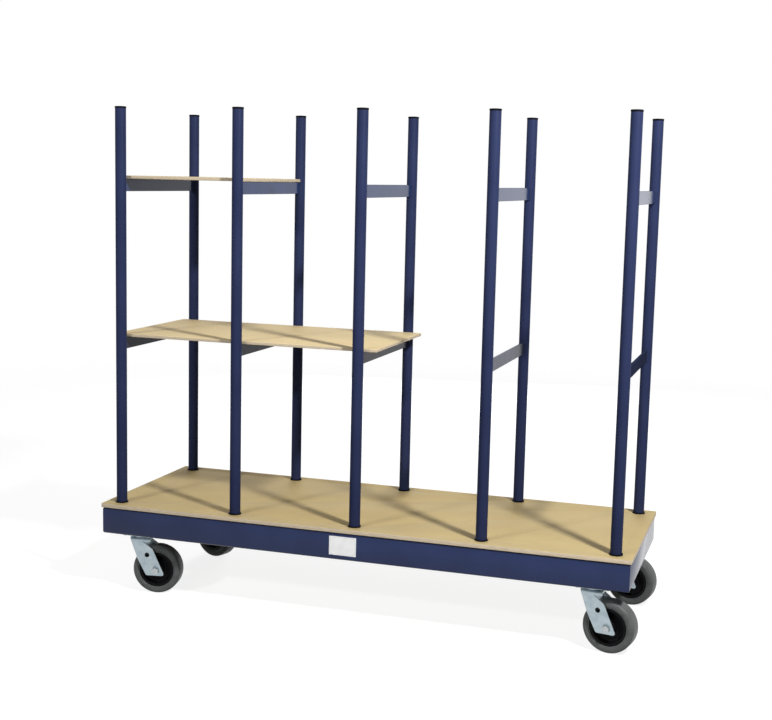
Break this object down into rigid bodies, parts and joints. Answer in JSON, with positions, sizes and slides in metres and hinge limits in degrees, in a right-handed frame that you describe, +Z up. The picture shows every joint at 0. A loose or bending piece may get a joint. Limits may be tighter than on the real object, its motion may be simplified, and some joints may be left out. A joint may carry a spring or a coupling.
{
  "type": "parts cart",
  "caption": "Long low deck cart on swivel casters with lift-out tube divider frames and loose shelf boards, for standing, leaning and moving cut sheet parts.",
  "frame": {"origin": "middle of the cart's outline box on the floor, with all four casters trailing towards +X as they stand in the picture", "axes": "+X along the deck towards the open bays, +Y from the front side rail to the rear one, +Z up"},
  "size_m": [1.6638, 0.588, 1.5043],
  "materials": {
    "navy_paint": "gloss navy enamel",
    "socket_black": "satin black",
    "tan_board": "plain tan board, matt",
    "zinc_plate": "bright zinc plate",
    "bright_steel": "plated steel",
    "grey_rubber": "dark grey rubber, matt",
    "black_core": "black moulded core"
  },
  "bodies": {
    "chassis": {"front_side_rail": "navy_paint", "rear_side_rail": "navy_paint", "left_end_rail": "navy_paint", "right_end_rail": "navy_paint", "socket_cross_member_1": "socket_black", "socket_cross_member_2": "socket_black", "socket_cross_member_3": "socket_black", "socket_cross_member_4": "socket_black", "socket_cross_member_5": "socket_black", "caster_pad_front_left": "navy_paint", "caster_pad_front_right": "navy_paint", "caster_pad_rear_left": "navy_paint", "caster_pad_rear_right": "navy_paint", "deck_board": "tan_board", "caster_plate_front_left": "zinc_plate", "caster_plate_front_right": "zinc_plate", "caster_plate_rear_left": "zinc_plate", "caster_plate_rear_right": "zinc_plate"},
    "frame_1": {"post_front_1": "navy_paint", "post_rear_1": "navy_paint", "mid_bar_1": "navy_paint", "top_bar_1": "navy_paint"},
    "frame_2": {"post_front_2": "navy_paint", "post_rear_2": "navy_paint", "mid_bar_2": "navy_paint", "top_bar_2": "navy_paint"},
    "frame_3": {"post_front_3": "navy_paint", "post_rear_3": "navy_paint", "mid_bar_3": "navy_paint", "top_bar_3": "navy_paint"},
    "frame_4": {"post_front_4": "navy_paint", "post_rear_4": "navy_paint", "mid_bar_4": "navy_paint", "top_bar_4": "navy_paint"},
    "frame_5": {"post_front_5": "navy_paint", "post_rear_5": "navy_paint", "mid_bar_5": "navy_paint", "top_bar_5": "navy_paint"},
    "mid_shelf": {"mid_shelf": "tan_board"},
    "top_shelf": {"top_shelf": "tan_board"},
    "fork_front_left": {"caster_fork_front_left": "zinc_plate", "caster_axle_front_left": "bright_steel"},
    "wheel_front_left": {"wheel_core_front_left": "black_core", "wheel_tyre_front_left": "grey_rubber", "wheel_bush_front_left": "bright_steel"},
    "fork_front_right": {"caster_fork_front_right": "zinc_plate", "caster_axle_front_right": "bright_steel"},
    "wheel_front_right": {"wheel_core_front_right": "black_core", "wheel_tyre_front_right": "grey_rubber", "wheel_bush_front_right": "bright_steel"},
    "fork_rear_left": {"caster_fork_rear_left": "zinc_plate", "caster_axle_rear_left": "bright_steel"},
    "wheel_rear_left": {"wheel_core_rear_left": "black_core", "wheel_tyre_rear_left": "grey_rubber", "wheel_bush_rear_left": "bright_steel"},
    "fork_rear_right": {"caster_fork_rear_right": "zinc_plate", "caster_axle_rear_right": "bright_steel"},
    "wheel_rear_right": {"wheel_core_rear_right": "black_core", "wheel_tyre_rear_right": "grey_rubber", "wheel_bush_rear_right": "bright_steel"}
  },
  "joints": [
    {"name": "frame_1_lift", "type": "slide", "parent": "chassis", "child": "frame_1", "axis": [0, 0, 1], "range_m": [0, 0.12]},
    {"name": "frame_2_lift", "type": "slide", "parent": "chassis", "child": "frame_2", "axis": [0, 0, 1], "range_m": [0, 0.12]},
    {"name": "frame_3_lift", "type": "slide", "parent": "chassis", "child": "frame_3", "axis": [0, 0, 1], "range_m": [0, 0.12]},
    {"name": "frame_4_lift", "type": "slide", "parent": "chassis", "child": "frame_4", "axis": [0, 0, 1], "range_m": [0, 0.12]},
    {"name": "frame_5_lift", "type": "slide", "parent": "chassis", "child": "frame_5", "axis": [0, 0, 1], "range_m": [0, 0.12]},
    {"name": "mid_shelf_lift", "type": "slide", "parent": "frame_1", "child": "mid_shelf", "axis": [0, 0, 1], "range_m": [0, 0.15]},
    {"name": "top_shelf_lift", "type": "slide", "parent": "frame_1", "child": "top_shelf", "axis": [0, 0, 1], "range_m": [0, 0.15]},
    {"name": "swivel_front_left", "type": "hinge", "parent": "chassis", "child": "fork_front_left", "pos_m": [-0.72221, -0.2305, 0.1793], "axis": [0, 0, 1], "continuous": true},
    {"name": "wheel_spin_front_left", "type": "hinge", "parent": "fork_front_left", "child": "wheel_front_left", "pos_m": [-0.6701, -0.22084, 0.0762], "axis": [-0.1822, 0.9833, 0], "continuous": true},
    {"name": "swivel_front_right", "type": "hinge", "parent": "chassis", "child": "fork_front_right", "pos_m": [0.70299, -0.2305, 0.1793], "axis": [0, 0, 1], "continuous": true},
    {"name": "wheel_spin_front_right", "type": "hinge", "parent": "fork_front_right", "child": "wheel_front_right", "pos_m": [0.75492, -0.24107, 0.0762], "axis": [0.1994, 0.9799, 0], "continuous": true},
    {"name": "swivel_rear_left", "type": "hinge", "parent": "chassis", "child": "fork_rear_left", "pos_m": [-0.72221, 0.2305, 0.1793], "axis": [0, 0, 1], "continuous": true},
    {"name": "wheel_spin_rear_left", "type": "hinge", "parent": "fork_rear_left", "child": "wheel_rear_left", "pos_m": [-0.67181, 0.21412, 0.0762], "axis": [0.309, 0.9511, 0], "continuous": true},
    {"name": "swivel_rear_right", "type": "hinge", "parent": "chassis", "child": "fork_rear_right", "pos_m": [0.70299, 0.2305, 0.1793], "axis": [0, 0, 1], "continuous": true},
    {"name": "wheel_spin_rear_right", "type": "hinge", "parent": "fork_rear_right", "child": "wheel_rear_right", "pos_m": [0.75483, 0.21948, 0.0762], "axis": [0.2079, 0.9781, 0], "continuous": true}
  ],
  "couplings": [
    {"joint": "frame_2_lift", "follows": "frame_1_lift", "ratio": 1},
    {"joint": "frame_3_lift", "follows": "frame_1_lift", "ratio": 1}
  ]
}
